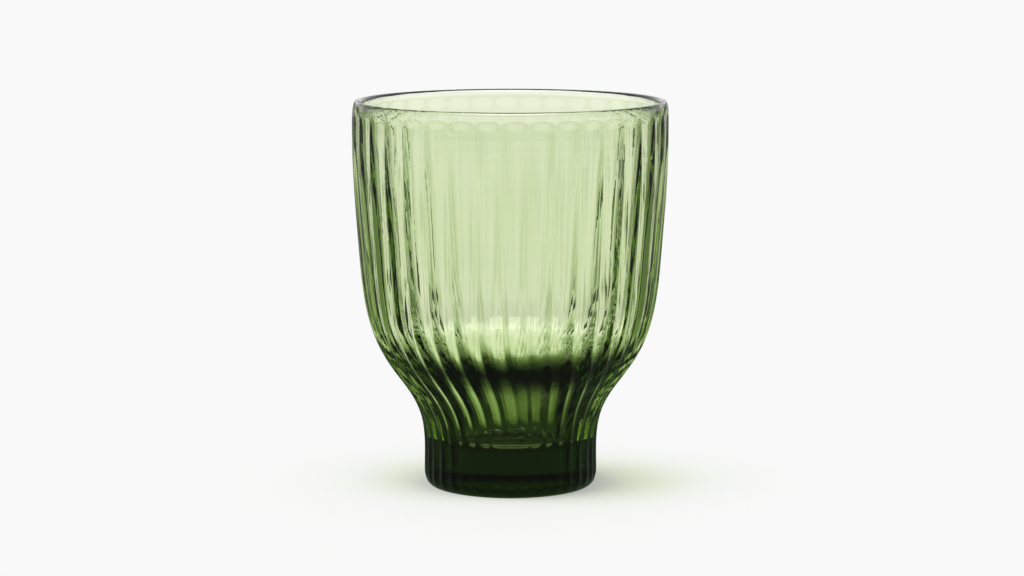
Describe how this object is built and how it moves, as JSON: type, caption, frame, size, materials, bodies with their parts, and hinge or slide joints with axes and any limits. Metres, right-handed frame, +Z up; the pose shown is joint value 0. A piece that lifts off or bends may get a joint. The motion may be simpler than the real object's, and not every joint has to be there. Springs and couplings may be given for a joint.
{
  "type": "drinking glass",
  "caption": "Low drinking glass in transparent green glass: a deep fluted bowl that draws in over a shoulder to a narrow solid foot.",
  "frame": {"origin": "centre of the plane that the glass stands on", "axes": "+Z up along the axis of the glass; -Y through the middle of one ridge between two flutes, at the rim"},
  "size_m": [0.0816, 0.0816, 0.1],
  "materials": {
    "green_glass": "moulded and fire polished, transparent bottle green"
  },
  "bodies": {
    "root": {"bowl": "green_glass", "foot": "green_glass"}
  },
  "joints": []
}
